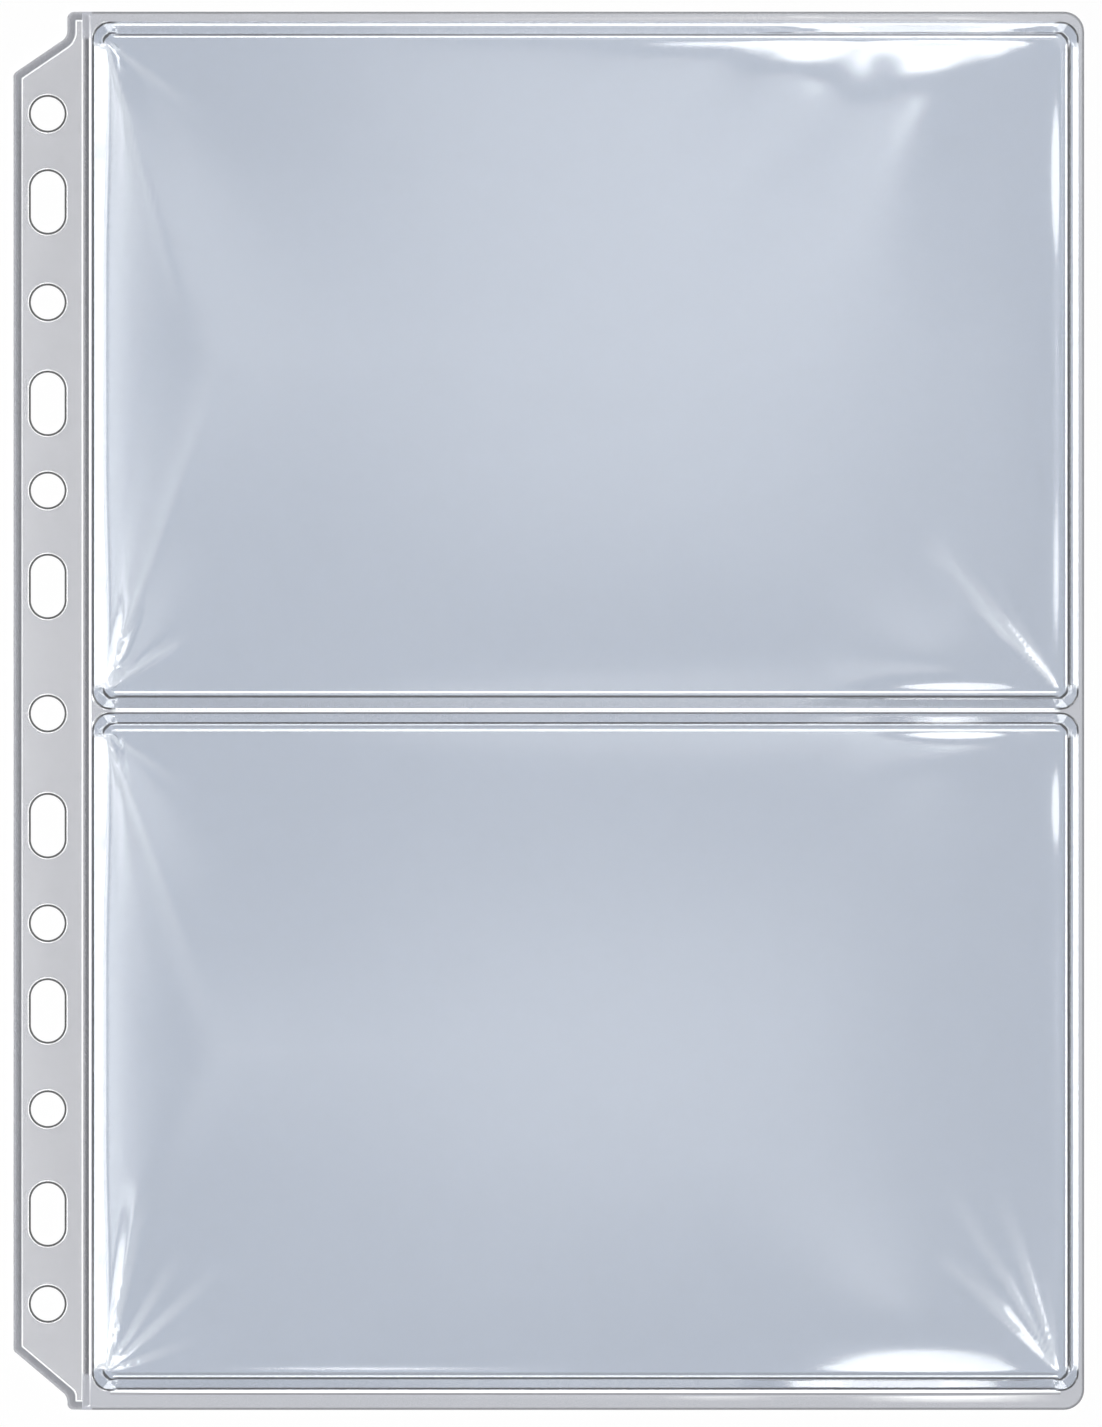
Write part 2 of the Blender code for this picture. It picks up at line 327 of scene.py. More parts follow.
def filmPiece(name, mesh, thickness, materials):
    # gives a surface its thickness, downwards; a cut edge takes the material listed after its film
    for material in materials:
        mesh.materials.append(material)
    piece = bpy.data.objects.new(name, mesh)
    bpy.context.collection.objects.link(piece)
    solid = piece.modifiers.new("thickness", "SOLIDIFY")
    solid.thickness = thickness
    solid.offset = -1
    solid.use_even_offset = True
    solid.material_offset_rim = 1
    bpy.context.view_layer.update()
    whole = bpy.data.meshes.new_from_object(piece.evaluated_get(bpy.context.evaluated_depsgraph_get()))
    piece.modifiers.clear()
    piece.data = whole
    whole.name = name
    bpy.data.meshes.remove(mesh)
    whole.shade_smooth()
    whole.set_sharp_from_angle(angle=math.radians(drawing["sharpAngle"]))
    return piece


# binding strip: two films with the same holes, joined by a pressed rim
strip = {
    "shoulderWidth": 2.7 * mm, "shoulderDrop": (4.6 * mm, 2.5 * mm), "slantRise": (6.6 * mm, 8.2 * mm),
    "shoulderRadius": 1.7 * mm, "neckRadius": 2.0 * mm, "tabRadius": 1.2 * mm,
    "rimWidth": 1.45 * mm, "rimThickness": 0.06 * mm, "sideGap": 0.15 * mm,
    "holeWidth": 6.1 * mm, "slotLength": 11.1 * mm, "slotShare": 1.5,
    # edgeDark paints shade along the strip's outline
    "flank": 0.13 * mm, "flankRise": 0.01 * mm, "fade": 0.03 * mm, "edgeDark": 0.3,
    # painted highlight and painted shade along the straight edge and at the slanted ends, and where they
    # change
    "lineHighlight": (0.35, 0.8), "rimDark": (1.0, 0.5), "lineFade": (104 * mm, 112 * mm),
    "steps": 8, "holeSteps": 48,
}
# across the rim, from the outline inwards: place, rise, painted shade and painted highlight marks
rimProfile = (
    (0, -0.04, 0, 0.5), (0.1, 0, 0, 0.3), (0.43, 0, 0, 0.15), (0.52, 0, 0.3, 0),
    (0.78, 0.01, 0.55, 0), (1.0, 0.01, 0.7, 0), (1.2, 0.01, 0.95, 0), (1.45, 0, 0.85, 0),
)
# round a punched hole, from its edge outwards: place, rise, painted shade and painted highlight marks
holeProfile = (
    (0, 0, 1, 0), (0.33, 0, 1, 0), (0.4, 0, 0, 0.7), (0.5, 0.03, 0, 0.7), (0.55, 0.03, 0, 0),
    (1.1, 0, 0, 0),
)


def stripCorners():
    neck = stripHigh.x - strip["shoulderWidth"]
    topSlant = stripHigh.y - strip["shoulderDrop"][0]
    bottomSlant = stripLow.y + strip["shoulderDrop"][1]
    return [
        (stripHigh.x, stripHigh.y, 0),
        (neck, stripHigh.y, strip["shoulderRadius"]),
        (neck, topSlant, strip["neckRadius"]),
        (stripLow.x, topSlant - strip["slantRise"][0], strip["tabRadius"]),
        (stripLow.x, strip["lineFade"][0], 0),
        (stripLow.x, -strip["lineFade"][0], 0),
        (stripLow.x, bottomSlant + strip["slantRise"][1], strip["tabRadius"]),
        (neck, bottomSlant, strip["neckRadius"]),
        (neck, stripLow.y, strip["shoulderRadius"]),
        (stripHigh.x, stripLow.y, 0),
    ]


def stripHoles(z, relief):
    holes = []
    for opening in frame["record"]["physics"]["openings"]:
        low, high = (Vector(corner) for corner in opening["box_m"])
        x, y = (low.x + high.x) / 2, (low.y + high.y) / 2
        isSlot = high.y - low.y > strip["slotShare"] * (high.x - low.x)
        width = strip["holeWidth"]
        length = strip["slotLength"] if isSlot else width
        rings = []
        for place, rise, paintedShade, paintedHighlight in holeProfile:
            grow = 2 * place * mm
            loop = slotLoop(x, y, width + grow, length + grow, strip["holeSteps"])
            rings.append((loop, z + rise * mm * relief, paintedShade, paintedHighlight))
        holes.append(rings)
    return holes


def endMark(loop, values):
    # a mark that changes towards the slanted ends
    return np.interp([abs(point.y) for point in loop], strip["lineFade"], values)


def lineLoop(loop, z):
    # one side of the painted highlight line along the front layer's edge
    return loop, z, 0, endMark(loop, strip["lineHighlight"])


def makeStrip():
    edge = stripCorners()
    steps, flank, fade = strip["steps"], strip["flank"], strip["fade"]
    inset = strip["rimWidth"] + strip["sideGap"]
    outer, inner = (roundedLoop(openInset(edge, inset + more), steps) for more in (0, flank))
    z = stripHigh.z
    loops = [
        # the outline carries a line of painted shade
        (roundedLoop(edge, steps), z, strip["edgeDark"], 0),
        (roundedLoop(openInset(edge, inset - fade), steps), z, 0, 0),
        lineLoop(outer, z), lineLoop(inner, z),
        (roundedLoop(openInset(edge, inset + flank + fade), steps), z, 0, 0),
    ]
    backLayer = loopSurface("stripBackSheet", loops, stripHoles(z, 0))
    backLayer = filmPiece("stripBackSheet", backLayer, filmThickness, [stripFilm, cutEdge])
    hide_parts("strip_back_film")

    frontEdge = openInset(edge, inset)
    inner = roundedLoop(drawnIn(frontEdge, flank), steps)
    z = stripFrontTop
    loops = [
        lineLoop(outer, z - strip["flankRise"]), lineLoop(inner, z),
        (roundedLoop(drawnIn(frontEdge, flank + fade), steps), z, 0, 0),
    ]
    frontLayer = loopSurface("stripFrontSheet", loops, stripHoles(z, 1))
    frontLayer = filmPiece("stripFrontSheet", frontLayer, filmThickness, [stripFilm, cutEdge])
    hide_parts("strip_front_film")

    rows = []
    for place, rise, paintedShade, paintedHighlight in rimProfile:
        loop = roundedLoop(openInset(edge, place * mm), steps)
        rows.append((loop, rimTop + rise * mm, paintedShade * endMark(loop, strip["rimDark"]), paintedHighlight))
    rim = filmPiece("stripRim", ribbonSurface("stripRim", rows), strip["rimThickness"], [rimFilm, cutEdge])
    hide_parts("strip_edge_weld")
    for piece, slot in ((backLayer, "strip_film"), (frontLayer, "strip_film"), (rim, "weld")):
        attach(piece, "binding_strip")
    print("binding strip made")


makeStrip()

# crease: a thin pressed line on which the page turns, steep on its right, painted shade on its crest and
# painted highlights beside it
crease = {
    "topMark": 4.6 * mm, "bottomMark": 6.2 * mm, "endRound": 0.5 * mm, "dome": 0.9 * mm,
    "domeShare": (0.5, 0.15), "markShare": (0.7, 0.2),  # of the height and of the marks
}
# across the crease from the strip to the panel: share of the width, rise, painted shade and painted highlight
# marks
creaseProfile = (
    (0, 0, 0, 0.8), (0.06, 0.05, 0, 1), (0.1, 0.06, 0.8, 0), (0.2, 0.08, 0.85, 0),
    (0.28, 0.1, 0.75, 0), (0.35, 0.11, 1, 0), (0.5, 0.14, 1, 0), (0.67, 0.16, 1, 0),
    (0.71, 0.15, 0, 0.8), (0.89, 0.02, 0, 0.8), (0.94, 0, 0, 0), (1, 0, 0, 0),
)


def makeCrease():
    left, width = stripHigh.x, backLow.x - stripHigh.x
    top, bottom = backHigh.y, backLow.y
    # down the crease: the bare end, a low dome, the stretch with painted shade and highlights, a dome and the
    # other end
    stations = np.array((
        (top, 0, 0),
        (top - crease["endRound"], 0, 0),
        (top - crease["dome"], *crease["domeShare"]),
        (top - crease["topMark"], *crease["markShare"]),
        (top - crease["topMark"] - crease["endRound"], 1, 1),
        (bottom + crease["bottomMark"] + crease["endRound"], 1, 1),
        (bottom + crease["bottomMark"], *crease["markShare"]),
        (bottom + crease["dome"], *crease["domeShare"]),
        (bottom + crease["endRound"], 0, 0),
        (bottom, 0, 0),
    ))
    y, height, mark = stations.T
    rows = []
    for share, rise, paintedShade, paintedHighlight in creaseProfile:
        line = np.column_stack([np.full(len(y), left + width * share), y])
        rows.append((line, backHigh.z + rise * mm * height, paintedShade * mark, paintedHighlight * mark))
    web = filmPiece("creaseWeb", ribbonSurface("creaseWeb", rows), filmThickness, [creaseFilm, cutEdge])
    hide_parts("crease_web")
    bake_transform(web, "binding_strip", "pocket_panel", start=(creaseLow.x, 0, 0), end=(creaseHigh.x, 0, 0))
    print("crease made")


makeCrease()

# pocket panel: one back film, and the welds that lie on it
panel = {
    "pageRadius": 3.7 * mm, "pocketRadius": 3.3 * mm, "steps": 10, "sheenStep": 3.0 * mm,
    "weldWidth": 2.3 * mm, "weldReturn": 4.7 * mm, "weldFlank": 0.25 * mm, "weldThickness": 0.08 * mm,
    "edgeLine": 0.48 * mm, "edgeDark": ((0.6, 0.8), (1, 0)),  # share of the line's width, painted shade mark
    "seamInset": 5.0 * mm, "lineFade": 0.05 * mm, "lineTaper": 16.0 * mm,
    # lines below the lower pocket: near and far distance from it, painted shade and painted highlight marks
    "lowerLines": ((0.08, 0.3, 0, 1.0), (0.46, 0.66, 0.75, 0)),
}
# stretches of the margin with a painted sheen: side, middle along it, half length,
# near and far distance from the page's edge, strength
marginSheens = (
    ("bottom", 72, 22, 1.2, 2.4, 0.95), ("bottom", 30, 14, 1.6, 2.4, 0.4),
    ("top", 47, 8, 0.6, 1.1, 0.35), ("top", 74, 8, 0.7, 1.3, 0.35),
)


def rectangleCorners(low, high, leftRadius, rightRadius):
    return [
        (low.x, low.y, leftRadius), (high.x, low.y, rightRadius),
        (high.x, high.y, rightRadius), (low.x, high.y, leftRadius),
    ]


def weldCorners(low, high):
    # the band from the mouth's lower corner round three sides to its upper corner
    radius, width = panel["pocketRadius"], panel["weldWidth"]
    inner = radius - width
    start, stop = low.y + panel["weldReturn"], high.y - panel["weldReturn"]
    return [
        (low.x, start, 0), (low.x, low.y, radius), (high.x, low.y, radius), (high.x, high.y, radius),
        (low.x, high.y, radius), (low.x, stop, 0), (low.x + width, stop, 0),
        (low.x + width, high.y - width, inner), (high.x - width, high.y - width, inner),
        (high.x - width, low.y + width, inner), (low.x + width, low.y + width, inner),
        (low.x + width, start, 0),
    ]


def sheenLoop(side, middle, half, near, far, strength):
    # a closed strip along the margin, with a painted sheen along its inner line
    steps = max(2, round(2 * half * mm / panel["sheenStep"]))
    along = np.linspace(middle - half, middle + half, steps + 1) * mm
    clear = strength * (0.5 + 0.5 * np.cos(np.linspace(-math.pi, math.pi, steps + 1)))
    edge, inward = (backLow.y, 1) if side == "bottom" else (backHigh.y, -1)
    line = [Vector((x, edge + inward * near * mm)) for x in along]
    line += [Vector((x, edge + inward * far * mm)) for x in along[-2:0:-1]]
    return line, backHigh.z, 0, np.concatenate([np.zeros(steps + 1), clear[-2:0:-1]])


def edgeLines(film, run):
    # a painted highlight line and a painted shade line on the margin below a pocket
    loops = []
    for near, far, paintedShade, paintedHighlight in panel["lowerLines"]:
        for grow, taper, share in ((panel["lineFade"], 0, 0), (0, panel["lineTaper"], 1)):
            left, right = film[0].x + run - grow, film[1].x - run + grow
            top, bottom = film[0].y - near * mm + grow, film[0].y - far * mm - grow
            line = [(left, top), (left + taper, bottom), (right - taper, bottom), (right, top)]
            loops.append(([Vector(place) for place in line], backHigh.z, paintedShade * share, paintedHighlight * share))
    return loops


def makePanel():
    steps = panel["steps"]
    page = rectangleCorners(backLow, backHigh, 0, panel["pageRadius"])
    zones = [
        roundedLoop(rectangleCorners(*pocket["film"], panel["pocketRadius"], panel["pocketRadius"]), steps)
        for pocket in pockets.values()
    ]
    z = backHigh.z
    # the page's outline and the lines drawn in from it carry painted shade
    loops = [(roundedLoop(page, steps), z, 1, 0)]
    for share, paintedShade in panel["edgeDark"]:
        loops.append((roundedLoop(openInset(page, panel["edgeLine"] * share), steps), z, paintedShade, 0))
    loops += [(zone, z, 0, 0) for zone in zones]
    seam = (pockets["upper"]["film"][0].y + pockets["lower"]["film"][1].y) / 2
    run = panel["seamInset"]
    # a painted highlight along the seam between the pockets
    loops.append(([Vector((backLow.x + run, seam)), Vector((backHigh.x - run, seam))], z, 0, 1))
    loops += edgeLines(pockets["lower"]["film"], panel["pocketRadius"])
    loops += [sheenLoop(*row) for row in marginSheens]
    slots = [(roundedLoop(page, steps), 1)] + [(zone, 0) for zone in zones]  # margin film, back film
    back = loopSurface("backSheet", loops, [], slots)
    back = filmPiece("backSheet", back, filmThickness, [backFilm, marginFilm, cutEdge])
    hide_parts("back_film")
    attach(back, "pocket_panel")
    for name, pocket in pockets.items():
        low, high = pocket["weld"]
        corners = weldCorners(low, high)
        flank = panel["weldFlank"]
        loops = [
            (roundedLoop(corners, steps), high.z - panel["weldThickness"], 0, 0),
            (roundedLoop(drawnIn(corners, flank), steps), high.z, 0, 0),
        ]
        band = loopSurface(name + "WeldBand", loops, [])
        band = filmPiece(name + "WeldBand", band, panel["weldThickness"], [weldFilm, cutEdge])
        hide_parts(name + "_pocket_weld")
        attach(band, "pocket_panel")
    print("panel made")


makePanel()

# pocket front films: a pressed band round three sides, a rolled lip at the mouth, a slack pillow between
front = {
    "radius": 3.3 * mm, "radiusLoss": 0.83, "cornerReach": 5.0 * mm, "cornerSteps": 24,
    "cells": (150, 108), "crowding": 0.55,
    "weldEnd": 3.3 * mm, "weldReturn": 3.8 * mm, "returnFade": 0.3 * mm, "bandFade": 8.0 * mm,
    "pillow": ((0.27 * mm, 4.0 * mm), (0.55 * mm, 24.0 * mm)), "pillowReach": 100.0 * mm,  # height, reach
    "mouthRise": 0.5 * mm, "mouthReach": 10.0 * mm, "mouthSpread": 3.0,
    "lipEdge": 0.38 * mm, "lipWidth": 1.85 * mm, "lipRound": 0.4 * mm, "lipFade": 60.0 * mm,
    "lipRun": 1.2 * mm, "lipSpread": 3.0, "fanRate": 2.5,
    # towards the mouth's corners the lip is wider and lower, and carries a painted highlight
    "lipSlope": (0.345, 0.17), "lipFlare": 0.8 * mm, "lipHighlight": 0.9,
    "flareReach": 32.0 * mm, "flarePower": 4,
    "foldStart": 0.35 * mm, "foldInset": 3.6 * mm, "mouthInset": 2.6 * mm,
    "foldRun": 1.0 * mm, "foldFade": 1.3, "swellSpread": 0.6, "swellClear": 10.0 * mm,
    "tiltSpan": (0.7, 2.0, 2.08),  # where a leaning band starts, crests and ends
    "liftPower": 1.3,  # how full the mouth bulges when it lifts
}
# across each welded band, from the film's edge inwards: place, rise, painted shade and painted highlight
# marks
bands = {
    "top": (
        (0, 0, 0.25, 0), (0.28, 0, 0.25, 0), (0.36, 0, 0, 0.8), (0.74, 0.12, 0, 0.8), (0.82, 0.12, 0, 0.15),
        (1.25, 0.1, 0, 0), (2.18, 0, 0, 0), (2.24, 0, 0.7, 0), (2.52, 0, 0.75, 0), (2.6, 0, 0, 0.8),
        (2.88, 0.1, 0, 0.8), (2.94, 0.1, 0, 0),
    ),
    "right": (
        (0, 0, 0, 0.4), (0.2, 0, 0, 0.8), (0.95, 0.27, 0, 0.8), (1.02, 0.27, 0, 0.1), (1.5, 0.25, 0.1, 0),
        (1.58, 0.02, 0.5, 0), (1.64, 0, 1, 0), (2.02, 0, 1, 0), (2.08, 0, 0, 0.9), (2.38, 0.1, 0, 0.9),
        (2.44, 0.1, 0.12, 0), (2.76, 0.1, 0.1, 0), (2.9, 0.1, 0, 0),
    ),
    "upperSeam": (
        (0, 0, 0, 0.9), (0.2, 0.07, 0, 0.9), (0.26, 0.07, 0.12, 0), (1.1, 0.04, 0.1, 0), (2.14, 0, 0.08, 0),
        (2.2, 0, 0.95, 0), (2.54, 0, 0.95, 0), (2.6, 0, 0, 0.25), (2.9, 0, 0, 0.3), (3.0, 0, 0, 0.85),
        (3.3, 0.1, 0, 0.85), (3.36, 0.1, 0, 0),
    ),
    "lowerSeam": (
        (0, 0, 0.9, 0), (0.2, 0, 0.85, 0), (0.3, 0, 0, 0), (1.72, 0, 0, 0.06), (1.78, 0, 0.95, 0),
        (2.04, 0, 0.95, 0), (2.12, 0, 0, 0.5), (2.34, 0, 0, 0.5), (2.42, 0, 0.14, 0), (2.76, 0, 0.12, 0),
        (3.0, 0, 0, 0.5), (3.06, 0, 0, 0.9), (3.36, 0.1, 0, 0.9), (3.5, 0.1, 0, 0),
    ),
    "bottom": (
        (0, 0, 0, 0.9), (0.2, 0.06, 0, 0.9), (0.26, 0.06, 0.9, 0), (0.58, 0.06, 0.9, 0),
        (0.66, 0.06, 0.05, 0), (2.1, 0, 0, 0), (2.16, 0, 0.95, 0), (2.46, 0, 0.95, 0), (2.54, 0, 0, 0.85),
        (2.8, 0.1, 0, 0.85), (2.88, 0.1, 0.25, 0), (3.2, 0.1, 0.25, 0), (3.5, 0.1, 0, 0),
    ),
}
bandSides = {
    "upper": {"left": "right", "right": "right", "bottom": "upperSeam", "top": "top"},
    "lower": {"left": "right", "right": "right", "bottom": "bottom", "top": "lowerSeam"},
}
# the band turns each corner as a raised block with flat facets
block = {
    "start": 0.4 * mm, "run": 1.1 * mm, "cut": 0.86, "foot": 0.45 * mm, "height": 0.46 * mm,
    "endSlope": 0.354, "sideSlope": 0.6, "cutSlope": 0.3, "edgeLine": 0.3 * mm,
    # the line along its inner side: places, painted highlight and painted shade marks, heights
    "innerLine": (1.7, 1.8, 1.9, 1.95, 2.28, 2.36), "innerWhite": (0, 0.8, 0.8, 0, 0, 0),
    "innerDark": (0, 0, 0, 1, 1, 0), "innerHeight": (0.46, 0.46, 0.46, 0.46, 0.1, 0.1),
}
# from the free edge of the mouth inwards: place and painted shade mark
lipProfile = np.array(((0, 1), (0.34, 1), (0.4, 0))).T
# further lines drawn round the film, in from its edge
moreInsets = (0.3, 0.34, 0.4, 0.5, 0.8, 1.3, 1.85, 2.2, 2.36, 3.6, 4.0, 4.4)
# folds that run out of the pocket corners: corner, angle, length,
# half widths at the far end to its right and left, slope, painted highlight
folds = {
    "upper": [
        ("lowerLeft", 73, 20, 3.2, 3.2, 0.32, 1.0), ("lowerLeft", 72, 70, 2.0, 14.0, 0.01, 0.6),
        ("lowerLeft", 36, 18, 1.7, 1.7, 0.28, 0.9), ("lowerLeft", 50, 8, 1.5, 1.5, 0.36, 1.0),
        ("lowerRight", 121, 26, 1.2, 1.2, 0.1, 0.4), ("lowerRight", 131, 36, 3.8, 3.4, 0.25, 1.0),
        ("upperLeft", -75, 60, 15.0, 1.0, 0.012, 0.8), ("upperLeft", -38, 24, 2.4, 1.4, 0.05, 0.4),
    ],
    "lower": [
        ("lowerLeft", 80, 36, 2.8, 3.0, 0.32, 1.0), ("lowerLeft", 58, 26, 1.7, 1.7, 0.26, 0.8),
        ("lowerLeft", 42, 28, 1.8, 1.8, 0.24, 0.8), ("lowerLeft", 18, 18, 1.4, 1.4, 0.2, 0.5),
        ("lowerRight", 98, 22, 1.4, 1.4, 0.02, 0.4), ("lowerRight", 108, 36, 1.9, 1.9, 0.18, 0.8),
        ("lowerRight", 120, 40, 1.8, 1.8, 0.2, 0.7), ("lowerRight", 134, 31, 2.8, 2.6, 0.28, 1.0),
        ("upperLeft", -70, 54, 15.0, 1.0, 0.012, 0.7), ("upperLeft", -36, 20, 2.2, 1.4, 0.05, 0.4),
    ],
}
# slack that swells beside a weld: side, middle along it, half length, height, reach, fade, skew with depth
swells = {
    "upper": [
        ("top", 62, 36, 0.24, 6.0, 24, 0), ("top", 45, 12, 0.55, 6.0, 14, 0),
        ("top", 69, 13, 0.8, 7.0, 40, -0.3), ("top", 82, 14, 0.35, 4.5, 9, 0),
        ("top", 28, 24, 0.12, 2.5, 10, 0), ("right", 97, 19, 0.16, 2.1, 20, 0),
        ("right", 24, 22, 0.08, 2.0, 20, 0), ("right", 62, 80, 0.045, 1.5, 20, 0),
        ("bottom", 74, 24, 0.45, 3.0, 14, 0),
    ],
    "lower": [
        ("top", 73, 20, 0.36, 2.8, 14, 0), ("right", -17, 12, 0.16, 1.9, 20, 0),
        ("right", -52, 48, 0.03, 1.5, 20, 0), ("bottom", 68, 28, 0.75, 5.5, 24, 0),
        ("bottom", -40, 70, 0.12, 1.6, 20, 0),
    ],
}
# stretches where the welded band leans out: side, middle along it, half length, slope
bandTilts = {
    "upper": [("top", 66, 34, 0.4), ("bottom", 72, 30, 0.16)],
    "lower": [("top", 72, 30, 0.16), ("bottom", 62, 34, 0.3)],
}


def crowdedSteps(low, high, cells):
    # closer together towards both ends
    share = np.linspace(0, 1, cells + 1)
    bent = 0.5 - 0.5 * np.cos(np.pi * share)
    return low + (high - low) * (share * (1 - front["crowding"]) + bent * front["crowding"])


def cornerFan(pivot, firstSide, inset):
    # points round one corner, on rays from its pivot
    flat = front["cornerReach"] - inset
    radius = front["radius"] - front["radiusLoss"] * inset
    angle = np.linspace(0, math.pi / 2, front["cornerSteps"] + 1)[1:-1]
    c, s = np.cos(angle), np.sin(angle)
    distance = flat / np.maximum(c, s)
    past = np.minimum(c, s) * distance - (flat - radius)
    lean = (c + s) * (flat - radius)
    arc = lean + np.sqrt(np.maximum(lean ** 2 - 2 * (flat - radius) ** 2 + radius ** 2, 0))
    distance = np.where(past > 0, arc, distance)
    angle = firstSide + angle
    return np.column_stack([pivot[0] + distance * np.cos(angle), pivot[1] + distance * np.sin(angle)])


def bandLine(low, high, xs, ys, inset):
    # one line round the film, drawn in by the inset, anticlockwise from the lower left
    def side(x, y):
        return np.column_stack(np.broadcast_arrays(x, y))

    return np.concatenate([
        side(xs, low.y + inset), cornerFan((xs[-1], ys[0]), -math.pi / 2, inset),
        side(high.x - inset, ys), cornerFan((xs[-1], ys[-1]), 0, inset),
        side(xs[::-1], high.y - inset), cornerFan((xs[0], ys[-1]), math.pi / 2, inset),
        side(low.x + inset, ys[::-1]), cornerFan((xs[0], ys[0]), math.pi, inset),
    ])


def foldRelief(x, y, low, high, rows):
    # heights of the folds, and the painted highlight along them
    inset, mouth = front["foldInset"], low.x + front["mouthInset"]
    corners = {
        "lowerLeft": (mouth, low.y + inset), "lowerRight": (high.x - inset, low.y + inset),
        "upperLeft": (mouth, high.y - inset), "upperRight": (high.x - inset, high.y - inset),
    }
    height, white = np.zeros(len(x)), np.zeros(len(x))
    for corner, angle, length, rightWidth, leftWidth, slope, highlightStrength in rows:
        cx, cy = corners[corner]
        c, s = math.cos(math.radians(angle)), math.sin(math.radians(angle))
        run = np.clip((x - cx) * c + (y - cy) * s, 0, None)
        along = np.clip(run / (length * mm), 0, 1)
        across = (y - cy) * c - (x - cx) * s
        endWidth = np.where(across > 0, leftWidth, rightWidth) * mm
        width = front["foldStart"] + (endWidth - front["foldStart"]) * along
        ridge = np.clip(1 - np.abs(across) / width, 0, 1) * np.clip(run / front["foldRun"], 0, 1)
        crest = front["foldStart"] + (min(rightWidth, leftWidth) * mm - front["foldStart"]) * along
        height += slope * crest * ridge * (1 - along) ** front["foldFade"]
        white = np.maximum(white, highlightStrength * np.sqrt(ridge) * (1 - along) ** front["foldFade"])
    return height, white


def swellHeights(x, y, sides, rows):
    total = np.zeros(len(x))
    for name, middle, half, height, reach, fade, skew in rows:
        depth = np.clip(sides[name] - front["weldEnd"], 0, None) / mm
        along = (y if name == "right" else x) / mm - middle - skew * depth
        run = np.clip(along / (half + front["swellSpread"] * depth), -1, 1)
        window = 0.5 + 0.5 * np.cos(np.pi * run)
        if name != "right":
            window = window * np.clip((sides["right"] - front["weldEnd"]) / front["swellClear"], 0, 1)
        total += height * mm * window * np.tanh(depth / reach) * np.exp(-(depth / fade) ** 2)
    return total


def cornerBlock(sides, inset):
    # share of the block at each point, its height and its painted shade and painted highlight marks
    reach, foot = front["cornerReach"], block["foot"]
    u = reach - np.minimum(sides["left"], sides["right"])
    v = reach - np.minimum(sides["bottom"], sides["top"])
    share = np.clip((np.minimum(u, v) - block["start"]) / block["run"], 0, 1)
    cut = reach - block["cut"] * (u + v) / math.sqrt(2)
    height = np.minimum(block["endSlope"] * (reach - v - foot), block["sideSlope"] * (reach - u - foot))
    height = np.clip(np.minimum(height, block["cutSlope"] * (cut - foot / 2)), 0, block["height"])
    depth = np.minimum(np.minimum(reach - u, reach - v), cut) / mm
    height = np.minimum(height, np.interp(depth, block["innerLine"], block["innerHeight"]) * mm)
    height = np.where(depth > block["innerLine"][-2], block["innerHeight"][-1] * mm, height)
    onEdge = inset <= block["edgeLine"] + drawing["touch"]
    paintedShade = np.maximum(np.interp(depth, block["innerLine"], block["innerDark"]), onEdge)
    return share, height, paintedShade, np.interp(depth, block["innerLine"], block["innerWhite"])


def bandTilt(x, y, sides, inset, rows):
    # stretches of the band that lean outwards
    total = np.zeros(len(x))
    for name, middle, half, slope in rows:
        along = np.clip(((y if name == "right" else x) - middle * mm) / (half * mm), -1, 1)
        onSide = sides[name] <= inset + drawing["touch"]
        start, crest, end = front["tiltSpan"]
        depth = np.interp(inset / mm, (start, crest, end), (0, crest - start, 0)) * mm
        total += onSide * (0.5 + 0.5 * np.cos(np.pi * along)) * slope * depth
    return total


